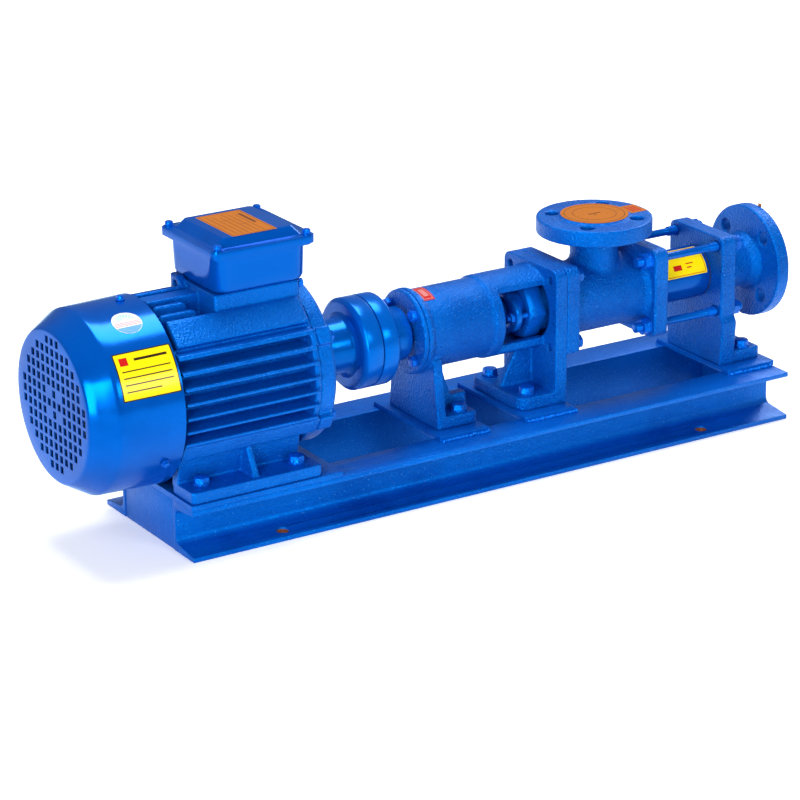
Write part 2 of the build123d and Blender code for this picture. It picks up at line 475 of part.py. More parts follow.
# cast fillet where the neck meets the barrel
sc = soft(sc, [e for e in sc.edges() if e.geom_type not in (GeomType.LINE, GeomType.CIRCLE) and 480 - 5 < e.center().X < 530 and 150 < e.center().Z < 190], 7.0, 6.0, 5.0, 4.0)
sc += cone_x(S1, S1 + 4, 40, 36.4) + cone_x(T0 - 5, T0, 36.4, 41)
sc -= cx(444, 556, 29.5) + cx(555, 570, 22.0) + cx(440, 446, 27)
sc -= cx(439.5, 444.6, 26.4)
sc -= cz(INLET_X, 0, ZC, INLET_Z + 1, PORT_R)
for i in range(4):
    a = radians(45 + 90 * i)
    sc -= cz(INLET_X + FLANGE_PCD / 2 * cos(a), FLANGE_PCD / 2 * sin(a), 200, 230, FLANGE_HOLE / 2)
for y, z in QB:
    sc -= cx(S0 - 1, S1 + 1, 5.0, y, ZC + z)
    sc -= cx(S1, S1 + 10, 10.5, y, ZC + z)
    sc -= cx(T0 - 1, T1 + 1, 5.0, y, ZC + z)
    sc -= cx(T0 - 12, T0, 10.8, y, ZC + z)
write("suction_casing", sc)
write("bracket_flange_bolts", *[place(bolt(8, 13, 5.5, 24, 1.6, 8.0, 5), S1, y, ZC + z, "x") for y, z in QB])

# ================= drive train inside =================
RJX = 546.0
AX_L = RJX - 468.0
tilt = ECC / AX_L
td = degrees(atan(tilt))
rod_pl = Pos(468, 0, ZC) * Rot(0, 0, td)
rod = rod_pl * (Rot(0, 90, 0) * Cylinder(7.0, AX_L, align=(Align.CENTER, Align.CENTER, Align.MIN)))
rod += Pos(468, 0, ZC) * Sphere(8.8) + Pos(RJX, ECC, ZC) * Sphere(8.8)
rod -= Pos(468, 0, ZC) * Rot(90, 0, 0) * Cylinder(2.95, 40)
rod -= Pos(RJX, ECC, ZC) * Rot(90, 0, 0) * Cylinder(2.95, 40)
write("connecting_rod", rod)
write("joint_pins", Pos(468, 0, ZC) * Rot(90, 0, 0) * Cylinder(2.95, 27), Pos(RJX, ECC, ZC) * Rot(90, 0, 0) * Cylinder(2.95, 24))
RX0, RX1 = 560.0, 633.0
pl = Plane(origin=(RX0, ECC, ZC), x_dir=(0, 1, 0), z_dir=(1, 0, 0))
screw = Solid.extrude_linear_with_rotation(pl * (Pos(ECC, 0) * Circle(ROTOR_R)).face(), (RX0, ECC, ZC), (RX1 - RX0, 0, 0), 360 * (RX1 - RX0) / PITCH)
head = cx(RJX - 7, RX0 - 4, 13.5, ECC, ZC)
head -= cx(RJX - 8, RJX + 9.6, 9.6, ECC, ZC)
head -= Pos(RJX, ECC, ZC) * Rot(90, 0, 0) * Cylinder(4.2, 50)
neckr = cx(RX0 - 5, RX0 + 1.0, 6.8, ECC, ZC)
rot_s = head + neckr + screw
write("pump_rotor", rot_s)
write("joint_sleeve", ring(RJX - 6.5, RJX + 6.0, 16.4, 13.9, ECC, ZC))

# ================= stator =================
sp2 = Plane(origin=(STATOR_X0, 0, ZC), x_dir=(0, 1, 0), z_dir=(1, 0, 0))
cav_r = ROTOR_R + 0.4
L_st = STATOR_X1 - STATOR_X0
start = 180 * (STATOR_X0 - 4 - RX0) / PITCH
cav_face = Plane(origin=(STATOR_X0 - 4, 0, ZC), x_dir=(0, cos(radians(start)), sin(radians(start))), z_dir=(1, 0, 0)) * SlotCenterToCenter(4 * ECC, 2 * cav_r)
cavity = Solid.extrude_linear_with_rotation(cav_face.face(), (STATOR_X0 - 4, 0, ZC), (L_st + 8, 0, 0), 180 * (L_st + 8) / PITCH)
rub = cx(STATOR_X0, STATOR_X1, 23.5) + cx(STATOR_X0, STATOR_X0 + 1.6, 26.0) + cx(STATOR_X1 - 1.6, STATOR_X1, 26.0)
rub = rub - cavity
write("stator_rubber", rub)
write("stator_tube", ring(STATOR_X0 + 1.6, STATOR_X1 - 1.6, 26.4, 23.5))

# ================= outlet casting =================
P0, P1 = STATOR_X1, STATOR_X1 + 18.0
oc = sqx(P0, P1, 44, 8)
oc += prof_x(P0, P1, [(-44.5, ZP), (44.5, ZP), (47.5, 100), (44, 106), (-44, 106), (-47.5, 100)])
oc += rbz(P0, 682, -44, 44, ZP, ZP + 12, 5)
oc += prof_y(-4, 4, [(P1 - 2, ZP + 8), (P1 - 2, 118), (P1 + 4, 112), (676, ZP + 16), (676, ZP + 8)])
oc += rev_x([(P1 - 1, 0), (P1 - 1, 31), (P1 + 4, 28), (P1 + 11, 26), (OUTLET_X - RF_T - FLANGE_T - 9, 25), (OUTLET_X - RF_T - FLANGE_T, 30), (OUTLET_X - RF_T - FLANGE_T, FLANGE_R), (OUTLET_X - RF_T, FLANGE_R), (OUTLET_X - RF_T, RF_R), (OUTLET_X - 0.3, RF_R), (OUTLET_X - 0.3, 0)])
for r in (18.0, 25.0, 32.4):
    oc += ring(OUTLET_X - 0.4, OUTLET_X, r + 0.5, r)          # raised serrations of the sealing face
oc -= cone_x(P0 - 0.5, P1 + 12, 22, PORT_R) + cx(P1 + 10, OUTLET_X + 1, PORT_R)
for i in range(4):
    a = radians(45 + 90 * i)
    oc -= cx(680, OUTLET_X + 1, FLANGE_HOLE / 2, FLANGE_PCD / 2 * cos(a), ZC + FLANGE_PCD / 2 * sin(a))
for y, z in QB:
    oc -= cx(P0 - 1, P1 + 1, 5.0, y, ZC + z)
    oc -= cx(P1, P1 + 14, 10.0, y, ZC + z) if z < 0 else cx(P1, P1 + 0.1, 10.0, y, ZC + z)
x0, x1, xb, yb = FEET["outlet"]
for s_ in (-1, 1):
    oc -= cz(xb, s_ * yb, 50, 80, 4.5) + cz(xb, s_ * yb, ZP + 12, ZP + 22, 9.6)
write("outlet_casting", oc)

# tie rods with a nut at each end
write("tie_rods", *[cx(530, 566.5, 4.6, y, ZC + z) + cx(566.5, 619, 3.8, y, ZC + z) + cx(619, 661.5, 4.6, y, ZC + z) for y, z in QB])
nuts = []
for y, z in QB:
    for x, d in ((T0, "-x"), (P1, "x")):
        nuts.append(place(Rot(0, 0, 8) * Pos(0, 0, 1.5) * hexz(14.5, 6.8, 4.6) + (extrude(Circle(8.6), 1.5) - extrude(Circle(4.6), 1.5)), x, y, ZC + z, d))
write("tie_rod_nuts", *nuts)

# pump foot bolts
for k, zt in (("pedestal", ZP + 12.0), ("bracket", ZP + 12.5), ("outlet", ZP + 12)):
    x0, x1, xb, yb = FEET[k]
    write(f"{k}_foot_bolts", *[place(bolt(8, 13, 5.5, zt - BASE_H, 1.8, 8.0, 20), xb, s_ * yb, zt) for s_ in (-1, 1)])

for n, (c, v) in WRITTEN.items():
    print(f"{n:24s} {c:3d} solids {v:12.1f} mm3")
print(len(WRITTEN), "nodes")
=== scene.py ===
import bpy, bmesh, math
from math import sin, cos, radians, pi, atan2, sqrt
from mathutils import Vector, Matrix, noise


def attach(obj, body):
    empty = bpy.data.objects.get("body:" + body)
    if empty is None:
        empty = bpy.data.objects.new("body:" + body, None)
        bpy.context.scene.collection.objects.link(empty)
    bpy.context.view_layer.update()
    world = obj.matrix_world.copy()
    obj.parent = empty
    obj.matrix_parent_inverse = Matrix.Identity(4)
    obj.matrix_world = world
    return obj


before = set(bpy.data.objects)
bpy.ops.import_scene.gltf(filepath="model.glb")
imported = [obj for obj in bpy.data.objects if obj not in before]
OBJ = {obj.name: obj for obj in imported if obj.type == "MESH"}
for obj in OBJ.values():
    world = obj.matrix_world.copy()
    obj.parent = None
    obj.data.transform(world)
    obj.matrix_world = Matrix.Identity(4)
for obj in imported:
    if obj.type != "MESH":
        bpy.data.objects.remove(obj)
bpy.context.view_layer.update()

OX = 342.5          # centre of the base bolts, measured from the motor end of the base
ZC = 145.0          # shaft line height


def P(x, y, z):
    """Millimetres from the motor end of the base to metres in the shared frame."""
    return Vector(((x - OX) / 1000.0, y / 1000.0, z / 1000.0))


# --------------------------------------------------------------------- node helpers
class Mat:
    def __init__(self, name, rough=0.3, metallic=0.0, coat=0.0, coat_rough=0.1, spec=0.5, ior=1.5):
        self.m = bpy.data.materials.new(name)
        self.m.use_nodes = True
        self.nt = self.m.node_tree
        self.nt.nodes.clear()
        self.out = self.n("ShaderNodeOutputMaterial")
        self.b = self.n("ShaderNodeBsdfPrincipled")
        self.b.inputs["Roughness"].default_value = rough
        self.b.inputs["Metallic"].default_value = metallic
        self.b.inputs["Coat Weight"].default_value = coat
        self.b.inputs["Coat Roughness"].default_value = coat_rough
        self.b.inputs["Specular IOR Level"].default_value = spec
        self.b.inputs["IOR"].default_value = ior
        self.l(self.b.outputs[0], self.out.inputs[0])
        self.tc = self.n("ShaderNodeTexCoord")

    def n(self, t, **kw):
        nd = self.nt.nodes.new(t)
        for k, v in kw.items():
            setattr(nd, k, v)
        return nd

    def l(self, a, b):
        self.nt.links.new(a, b)

    def noise(self, scale, detail=3.0, rough=0.5, dist=0.0, vec=None):
        nd = self.n("ShaderNodeTexNoise")
        nd.inputs["Scale"].default_value = scale
        nd.inputs["Detail"].default_value = detail
        nd.inputs["Roughness"].default_value = rough
        nd.inputs["Distortion"].default_value = dist
        self.l(vec or self.tc.outputs["Object"], nd.inputs["Vector"])
        return nd.outputs["Fac"]

    def voro(self, scale, feature="F1", rnd=1.0):
        nd = self.n("ShaderNodeTexVoronoi", feature=feature)
        nd.inputs["Scale"].default_value = scale
        nd.inputs["Randomness"].default_value = rnd
        self.l(self.tc.outputs["Object"], nd.inputs["Vector"])
        return nd.outputs["Distance"]

    def ramp(self, fac, stops):
        nd = self.n("ShaderNodeValToRGB")
        cr = nd.color_ramp
        while len(cr.elements) < len(stops):
            cr.elements.new(0.5)
        for e, (p, c) in zip(cr.elements, stops):
            e.position = p
            e.color = (*c, 1.0) if len(c) == 3 else c
        self.l(fac, nd.inputs[0])
        return nd.outputs[0]

    def rng(self, fac, a, b, c, d):
        nd = self.n("ShaderNodeMapRange")
        for i, v in zip((1, 2, 3, 4), (a, b, c, d)):
            nd.inputs[i].default_value = v
        self.l(fac, nd.inputs[0])
        return nd.outputs[0]

    def mix(self, fac, a, b, blend="MIX"):
        nd = self.n("ShaderNodeMix", data_type="RGBA", blend_type=blend)
        for s, v in ((0, fac), (6, a), (7, b)):
            if isinstance(v, (int, float)):
                nd.inputs[s].default_value = v
            elif isinstance(v, tuple):
                nd.inputs[s].default_value = (*v, 1.0)
            else:
                self.l(v, nd.inputs[s])
        return nd.outputs[2]

    def math(self, op, a, b):
        nd = self.n("ShaderNodeMath", operation=op)
        for s, v in ((0, a), (1, b)):
            if isinstance(v, (int, float)):
                nd.inputs[s].default_value = v
            else:
                self.l(v, nd.inputs[s])
        return nd.outputs[0]

    def bump(self, height, strength, dist, prev=None):
        nd = self.n("ShaderNodeBump")
        nd.inputs["Strength"].default_value = strength
        nd.inputs["Distance"].default_value = dist
        self.l(height, nd.inputs["Height"])
        if prev is not None:
            self.l(prev, nd.inputs["Normal"])
        return nd.outputs[0]


def srgb(r, g, b):
    f = lambda v: (v / 255 / 12.92) if v / 255 <= 0.04045 else ((v / 255 + 0.055) / 1.055) ** 2.4
    return (f(r), f(g), f(b))


BLUE = (0.0004, 0.092, 0.47)
BLUE_D = (0.0003, 0.058, 0.36)
# lighter blue used as painted highlight on the peaks of the paint grain
BLUE_GLINT_PAINT = (0.004, 0.26, 0.80)
GLINT = (0.0, 0.62, 1.0)


def paint(name, base=BLUE, dark=BLUE_D, light=BLUE_GLINT_PAINT, rough=(0.24, 0.4), grain=420.0, grain_s=0.35, grain_d=0.0006, lump=0.0, lump_d=0.0, wave=55.0, wave_s=0.1, glint_and_pit_shade=0.35, bright_flecks=0.5, metallic=0.3):
    """Sprayed enamel: colour drift, painted highlight on the peaks and painted shade in the pits of the grain, sparse
    bright azure flecks, orange peel over a cast or smooth skin.
    """
    k = Mat(name, metallic=metallic, spec=0.55)
    k.b.inputs["Specular Tint"].default_value = (*GLINT, 1.0)
    drift = k.noise(9.0, 4.0, 0.6)
    col = k.ramp(drift, [(0.34, dark), (0.54, base), (0.75, base)])
    fine = k.noise(grain, 2.0, 0.55)
    # painted highlight: the peaks of the fine grain, the same noise as the grain bump, are lightened towards the light
    # colour
    painted_glint_mask = k.rng(fine, 0.6, 0.78, 0.0, glint_and_pit_shade)
    col = k.mix(painted_glint_mask, col, light)
    # painted shade: the pits of the same grain are darkened
    painted_pit_shade_mask = k.rng(fine, 0.24, 0.42, glint_and_pit_shade * 0.7, 0.0)
    col = k.mix(painted_pit_shade_mask, col, tuple(c * 0.35 for c in dark))
    # sparse bright flecks in the azure of the lit paint
    if bright_flecks:
        d = k.noise(720.0, 3.0, 0.65)
        col = k.mix(k.rng(d, 0.66, 0.73, 0.0, bright_flecks), col, (0.12, 0.46, 0.94))
    k.l(col, k.b.inputs["Base Color"])
    k.l(k.rng(k.noise(32.0, 5.0, 0.65), 0.3, 0.7, rough[0], rough[1]), k.b.inputs["Roughness"])
    nrm = k.bump(k.noise(wave, 3.0, 0.5), wave_s, 0.002)
    if lump:
        nrm = k.bump(k.voro(lump, "SMOOTH_F1"), 0.8, lump_d, nrm)
    if grain_s:
        nrm = k.bump(fine, grain_s, grain_d, nrm)
    k.l(nrm, k.b.inputs["Normal"])
    return k.m


M = {}
# each paint below lightens its grain peaks as painted highlight and darkens its grain pits as painted shade, by the
# given amount
M["cast"] = paint("cast_enamel", grain=560, grain_s=1.0, grain_d=0.0012, lump=420, lump_d=0.0007, wave=60, wave_s=0.3, glint_and_pit_shade=0.5, rough=(0.26, 0.4), bright_flecks=1.0)
M["smoothcast"] = paint("motor_enamel", grain=620, grain_s=0.8, grain_d=0.0008, lump=480, lump_d=0.0004, wave=60, wave_s=0.25, glint_and_pit_shade=0.4, rough=(0.24, 0.38), bright_flecks=0.8)
M["sheet"] = paint("sheet_enamel", base=(0.0003, 0.075, 0.42), dark=(0.0002, 0.055, 0.34), grain=900, grain_s=0.04, grain_d=0.0003, wave=14, wave_s=0.10, glint_and_pit_shade=0.05, rough=(0.14, 0.21), bright_flecks=0.15, metallic=0.4)
M["base"] = paint("section_enamel", grain=480, grain_s=0.5, grain_d=0.0009, wave=60, wave_s=0.25, glint_and_pit_shade=0.4, rough=(0.28, 0.45), bright_flecks=1.0)
M["machined"] = paint("machined_enamel", grain=700, grain_s=0.12, grain_d=0.0004, wave=40, wave_s=0.12, glint_and_pit_shade=0.14, rough=(0.18, 0.3), bright_flecks=0.4, metallic=0.35)
M["bolt"] = paint("bolt_enamel", base=(0.0008, 0.10, 0.60), grain=600, grain_s=0.5, grain_d=0.0006, wave=180, wave_s=0.35, glint_and_pit_shade=0.5, rough=(0.18, 0.34), bright_flecks=0.8, metallic=0.35)
M["weld"] = paint("weld_enamel", base=(0.002, 0.13, 0.66), light=(0.03, 0.4, 0.95), grain=380, grain_s=0.9, grain_d=0.0012, wave=200, wave_s=0.6, glint_and_pit_shade=0.6, rough=(0.22, 0.42), bright_flecks=1.0)


def metal(name, col, rough=(0.2, 0.4), scratch=900.0, bump_s=0.15, metallic=1.0):
    k = Mat(name, metallic=metallic)
    n1 = k.noise(26.0, 5.0, 0.7)
    k.l(k.ramp(n1, [(0.3, tuple(c * 0.72 for c in col)), (0.6, col), (0.8, tuple(min(1, c * 1.12) for c in col))]), k.b.inputs["Base Color"])
    mp = k.n("ShaderNodeMapping")
    mp.inputs["Scale"].default_value = (0.06, 1.0, 1.0)
    k.l(k.tc.outputs["Object"], mp.inputs[0])
    sc = k.noise(scratch, 3.0, 0.6, vec=mp.outputs[0])
    k.l(k.rng(sc, 0.3, 0.7, rough[0], rough[1]), k.b.inputs["Roughness"])
    k.l(k.bump(sc, bump_s, 0.0002), k.b.inputs["Normal"])
    return k.m


def plastic(name, col, rough=(0.35, 0.55), grain=700.0, grain_s=0.2, var=0.2, coat=0.0):
    k = Mat(name, coat=coat)
    n1 = k.noise(24.0, 4.0, 0.6)
    k.l(k.ramp(n1, [(0.3, tuple(c * (1 - var) for c in col)), (0.65, col)]), k.b.inputs["Base Color"])
    k.l(k.rng(k.noise(90.0, 4.0), 0.3, 0.7, rough[0], rough[1]), k.b.inputs["Roughness"])
    k.l(k.bump(k.noise(grain, 2.0), grain_s, 0.0003), k.b.inputs["Normal"])
    return k.m


M["shaft"] = M["machined"]
M["steel"] = metal("turned_steel", (0.56, 0.57, 0.6))
M["bearing"] = metal("ground_steel", (0.66, 0.67, 0.7), rough=(0.1, 0.2), bump_s=0.05)
M["core"] = metal("core_steel", (0.2, 0.2, 0.21), rough=(0.4, 0.6), scratch=1500.0, bump_s=0.4)
M["copper"] = metal("winding_copper", (0.55, 0.22, 0.09), rough=(0.25, 0.45), scratch=700.0, bump_s=0.7)
M["brass"] = metal("stud_brass", (0.72, 0.52, 0.2))
M["rubber"] = plastic("black_rubber", (0.018, 0.018, 0.019), rough=(0.5, 0.75), grain=500, grain_s=0.3)
M["fan"] = plastic("fan_plastic", (0.022, 0.024, 0.03), rough=(0.4, 0.6))
# painted shade: near-black material standing in for the shade inside the fan cover
M["inside"] = plastic("dark_inside", (0.004, 0.007, 0.02), rough=(0.6, 0.8), grain=400, grain_s=0.4)
M["block"] = plastic("block_plastic", (0.62, 0.6, 0.54), rough=(0.45, 0.6))
M["packing"] = plastic("braided_packing", (0.22, 0.2, 0.16), rough=(0.7, 0.9), grain=380, grain_s=0.9, var=0.5)

NODE_MAT = {
    "smoothcast": ["motor_frame", "drive_end_shield"],
    # painted shade: the end shield behind the fan is near-black so the cover holes look dark
    "inside": ["fan_end_shield"],
    "cast": ["bearing_bracket", "bearing_cover", "suction_casing", "outlet_casting"],
    "sheet": ["fan_cover", "terminal_box", "terminal_lid", "terminal_gasket", "cable_gland", "stator_tube"],
    "base": ["rail_front", "rail_rear", "end_plates", "motor_mount_plate", "cross_plate_pedestal", "cross_plate_bracket", "cross_plate_outlet"],
    "machined": ["coupling_half_motor", "coupling_half_pump", "stuffing_box", "gland_follower", "tie_rods"],
    "bolt": ["drive_shield_bolts", "fan_shield_bolts", "fan_cover_screws", "motor_foot_bolts", "lid_screws", "earth_screw", "bearing_cover_bolts", "gland_studs", "gland_nuts", "bracket_flange_bolts", "tie_rod_nuts",
             "pedestal_foot_bolts", "bracket_foot_bolts", "outlet_foot_bolts"],
    "shaft": ["motor_shaft", "drive_shaft"],
    "steel": ["motor_key", "pump_key", "connecting_rod", "joint_pins", "pump_rotor"],
    "bearing": ["bearing_drive_end", "bearing_fan_end", "pump_bearings"],
    "core": ["stator_core", "rotor_core", "bearing_spacer"],
    "copper": ["stator_windings"], "brass": ["terminal_studs"],
    "rubber": ["coupling_spider", "joint_sleeve", "stator_rubber"],
    "fan": ["cooling_fan"], "block": ["terminal_block"], "packing": ["packing_rings"],
}


def node_obj(n):
    o = OBJ[n]
    return o if isinstance(o, bpy.types.Object) else bpy.data.objects[o]


def angle_smooth():
    """Geometry nodes: shade smooth, sharp where faces meet at more than 32 degrees."""
    g = bpy.data.node_groups.new("angle_smooth", "GeometryNodeTree")
    g.interface.new_socket("Geometry", in_out="INPUT", socket_type="NodeSocketGeometry")
    g.interface.new_socket("Geometry", in_out="OUTPUT", socket_type="NodeSocketGeometry")
    i, o = g.nodes.new("NodeGroupInput"), g.nodes.new("NodeGroupOutput")
    a, c = g.nodes.new("GeometryNodeInputMeshEdgeAngle"), g.nodes.new("FunctionNodeCompare")
    c.data_type, c.operation = "FLOAT", "GREATER_THAN"
    c.inputs[1].default_value = radians(32)
    s1, s2 = g.nodes.new("GeometryNodeSetShadeSmooth"), g.nodes.new("GeometryNodeSetShadeSmooth")
    s1.domain, s2.domain = "FACE", "EDGE"
    s1.inputs["Shade Smooth"].default_value = True
    s2.inputs["Shade Smooth"].default_value = False
    g.links.new(i.outputs[0], s1.inputs[0])
    g.links.new(s1.outputs[0], s2.inputs[0])
    g.links.new(a.outputs[0], c.inputs[0])
    g.links.new(c.outputs[0], s2.inputs["Selection"])
    g.links.new(s2.outputs[0], o.inputs[0])
    return g


SMOOTH = angle_smooth()
CASTINGS = {"motor_frame": (0.00105, 3), "drive_end_shield": (0.0012, 3), "bearing_bracket": (0.0011, 4), "suction_casing": (0.0012, 4), "outlet_casting": (0.0012, 4), "bearing_cover": (0.001, 2)}
BEVELS = {"rail_front": 0.0006, "rail_rear": 0.0006, "end_plates": 0.0005, "motor_mount_plate": 0.0006, "cross_plate_pedestal": 0.0006, "cross_plate_bracket": 0.0006, "cross_plate_outlet": 0.0006,
          "terminal_lid": 0.0009, "terminal_box": 0.0008, "fan_cover": 0.0, "coupling_half_motor": 0.0007, "coupling_half_pump": 0.0007, "stuffing_box": 0.0006, "gland_follower": 0.0007,
          "motor_foot_bolts": 0.0004, "tie_rod_nuts": 0.0004, "bracket_foot_bolts": 0.0004, "pedestal_foot_bolts": 0.0004, "outlet_foot_bolts": 0.0004, "bracket_flange_bolts": 0.0004, "drive_shield_bolts": 0.0004,
          "bearing_cover_bolts": 0.0004, "gland_nuts": 0.0003, "lid_screws": 0.0003, "tie_rods": 0.0005, "fan_cover_screws": 0.0003}

for mk, names in NODE_MAT.items():
    for n in names:
        o = node_obj(n)
        if o.type == "MESH":
            for i in range(len(o.material_slots)):
                o.material_slots[i].link = "OBJECT"
                o.material_slots[i].material = M[mk]
        if n in CASTINGS:
            size, it = CASTINGS[n]
            w = o.modifiers.new("weld", "WELD"); w.merge_threshold = 2e-6
            r = o.modifiers.new("cast_skin", "REMESH")
            r.mode, r.voxel_size, r.use_smooth_shade = "VOXEL", size * 1.0, True
            s = o.modifiers.new("cast_round", "SMOOTH")
            s.factor, s.iterations = 0.5, it
        else:
            w = o.modifiers.new("weld", "WELD"); w.merge_threshold = 2e-6
            bw = BEVELS.get(n, 0.0)
            if bw:
                b = o.modifiers.new("edge", "BEVEL")
                b.width, b.segments, b.limit_method, b.angle_limit, b.harden_normals = bw, 2, "ANGLE", radians(38), False
            g = o.modifiers.new("smooth", "NODES"); g.node_group = SMOOTH



# --------------------------------------------------------------------- extra pieces
def link(name, verts, faces, mat, body="pump_set"):
    me = bpy.data.meshes.new(name)
    me.from_pydata([tuple(v) for v in verts], [], faces)
    me.materials.append(mat)
    bm = bmesh.new()
    bm.from_mesh(me)
    bmesh.ops.remove_doubles(bm, verts=bm.verts, dist=1e-7)
    bmesh.ops.recalc_face_normals(bm, faces=bm.faces)
    bm.to_mesh(me)
    bm.free()
    o = bpy.data.objects.new(name, me)
    bpy.context.scene.collection.objects.link(o)
    g = o.modifiers.new("smooth", "NODES"); g.node_group = SMOOTH
    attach(o, body)
    return o


def around_x(R, a_mid):
    """Surface of a cylinder about the shaft line: u runs along X, v is arc length from the middle angle (in degrees)."""
    def f(u, v, h):
        a = radians(a_mid) + v / R
        return P(u, (R + h) * cos(a), ZC + (R + h) * sin(a))
    return f


def cover_skin(a_mid):
    """Cylindrical part of the fan cover, a little tapered and hanging 1 mm low."""
    def f(u, v, h):
        R = 87.0 + 1.4 * (u + 66.5) / 62.2
        a = radians(a_mid) + v / 88.0
        return P(u, (R + h) * cos(a), ZC - 1.0 + (R + h) * sin(a))
    return f


def flat_z(z):
    return lambda u, v, h: P(u, v, z + h)


def slab(grid, f, h0, h1):
    """Closed thin sheet on the surface f, from a grid of (u, v) points."""
    nu, nv = len(grid), len(grid[0])
    vs = [f(u, v, h) for h in (h0, h1) for row in grid for u, v in row]
    N = nu * nv
    fs = []
    for i in range(nu - 1):
        for j in range(nv - 1):
            a, b, c, d = i * nv + j, (i + 1) * nv + j, (i + 1) * nv + j + 1, i * nv + j + 1
            fs.append((a + N, b + N, c + N, d + N))
            fs.append((d, c, b, a))
    for i in range(nu - 1):
        for j in (0, nv - 1):
            a, b = i * nv + j, (i + 1) * nv + j
            fs.append((a, b, b + N, a + N) if j == 0 else (b, a, a + N, b + N))
    for j in range(nv - 1):
        for i in (0, nu - 1):
            a, b = i * nv + j, i * nv + j + 1
            fs.append((b, a, a + N, b + N) if i == 0 else (a, b, b + N, a + N))
    return vs, fs


def rect(u0, u1, v0, v1, n=10, m=10):
    return [[(u0 + (u1 - u0) * i / n, v0 + (v1 - v0) * j / m) for j in range(m + 1)] for i in range(n + 1)]


def round_rect(u0, u1, v0, v1, r, m=12):
    """Grid across a rectangle whose corners are rounded."""
    out = []
    n = 6
    us = [u0 + r * (1 - cos(pi / 2 * i / n)) for i in range(n + 1)]
    us += [u0 + r + (u1 - u0 - 2 * r) * i / 8 for i in range(1, 8)]
    us += [u1 - r * (1 - sin(pi / 2 * i / n)) for i in range(n + 1)]
    for u in us:
        d = max(0.0, r - (u - u0), r - (u1 - u))
        q = r - sqrt(max(0.0, r * r - d * d))
        out.append([(u, v0 + q + (v1 - v0 - 2 * q) * j / m) for j in range(m + 1)])
    return out


def sector(u, v, r0, r1, a0, a1, n=24, m=4):
    return [[(u + (r0 + (r1 - r0) * j / m) * cos(radians(a0 + (a1 - a0) * i / n)), v + (r0 + (r1 - r0) * j / m) * sin(radians(a0 + (a1 - a0) * i / n))) for j in range(m + 1)] for i in range(n + 1)]


def disc_chord(u, v, R, lo, hi, m=16, n=12):
    """Part of a disc between two heights along v."""
    rows = []
    for j in range(m + 1):
        y = lo + (hi - lo) * j / m
        h = sqrt(max(0.0, R * R - y * y))
        rows.append([(u - h + 2 * h * i / n, v + y) for i in range(n + 1)])
    return rows


def pieces(name, f, grids, h0, h1, mat, body="pump_set"):
    V, F = [], []
    for g in grids:
        v, fa = slab(g, f, h0, h1)
        k0 = len(V)
        V += v
        F += [tuple(i + k0 for i in q) for q in fa]
    return link(name, V, F, mat, body)


def foil(name, col, rough=(0.25, 0.4), var=0.1, peel=0.12):
    """Printed film: faint unevenness of the ink, scuffs and a slight ripple."""
    k = Mat(name, coat=0.25, coat_rough=0.15)
    base = k.ramp(k.noise(60.0, 5.0, 0.65), [(0.3, tuple(c * (1 - var) for c in col)), (0.7, col)])
    scuff = k.rng(k.noise(420.0, 4.0, 0.75), 0.66, 0.78, 0.0, 0.25)
    k.l(k.mix(scuff, base, tuple(c * 0.55 for c in col)), k.b.inputs["Base Color"])
    k.l(k.rng(k.noise(140.0, 4.0), 0.3, 0.7, rough[0], rough[1]), k.b.inputs["Roughness"])
    k.l(k.bump(k.noise(120.0, 2.0), peel, 0.0008), k.b.inputs["Normal"])
    k.b.inputs["Specular IOR Level"].default_value = 0.12
    return k.m


ORANGE, YELLOW, INK = foil("orange_film", srgb(176, 98, 1)), foil("yellow_film", srgb(226, 200, 1)), foil("dark_ink", srgb(40, 30, 12), var=0.3)
RED, WHITE, SKY, PINK, BROWN = foil("red_film", srgb(176, 22, 18)), foil("white_film", srgb(205, 212, 222)), foil("sky_film", srgb(30, 130, 190)), foil("pink_film", srgb(196, 120, 118)), foil("brown_ink", srgb(96, 44, 2), var=0.25)

def lathe(name, prof, mat, body="pump_set", m=96, zc=ZC):
    """Closed ring about the shaft line from a closed (x, r) outline."""
    V, F, L = [], [], len(prof)
    for i in range(m):
        a = 2 * pi * i / m
        V += [P(x, r * cos(a), zc + r * sin(a)) for x, r in prof]
    for i in range(m):
        for j in range(L):
            p, q = i * L, ((i + 1) % m) * L
            F.append((p + j, p + (j + 1) % L, q + (j + 1) % L, q + j))
    return link(name, V, F, mat, body)


# dark liner inside the fan cover and a near-black end shield behind the fan: painted shade, so the holes in the cover
# look dark
lathe("cover_inside", [(-89.0, 70.0), (-88.7, 70.2), (-69.5, 84.4), (-66.5, 85.1), (-6.0, 86.4), (-6.0, 85.9), (-66.4, 84.6), (-69.4, 83.9), (-88.6, 69.4)], M["inside"], zc=ZC - 1.0)

# plate on the lid of the terminal box: bare, with a border and blank rules
top = flat_z(285.2)
pieces("lid_plate", top, [round_rect(75.5, 122.0, -38.5, 32.5, 1.5)], 0.0, 0.05, ORANGE)
rules = [rect(77.0, 120.5, -37.2, -36.6), rect(77.0, 120.5, 30.6, 31.2), rect(77.0, 77.6, -37.2, 31.2), rect(119.9, 120.5, -37.2, 31.2)]
for i, u in enumerate((83.0, 88.5, 94.0, 99.5, 105.0, 110.5)):
    rules.append(rect(u, u + 0.55, -34.0, 27.0 - (i % 3) * 4.0))
rules += [rect(100.5, 110.0, -8.0, -7.4, 4, 4), rect(88.9, 99.2, 8.0, 8.6, 4, 4), rect(114.0, 117.0, -10.0, 22.0, 4, 6)]
pieces("lid_plate_rules", top, rules, 0.05, 0.07, BROWN)

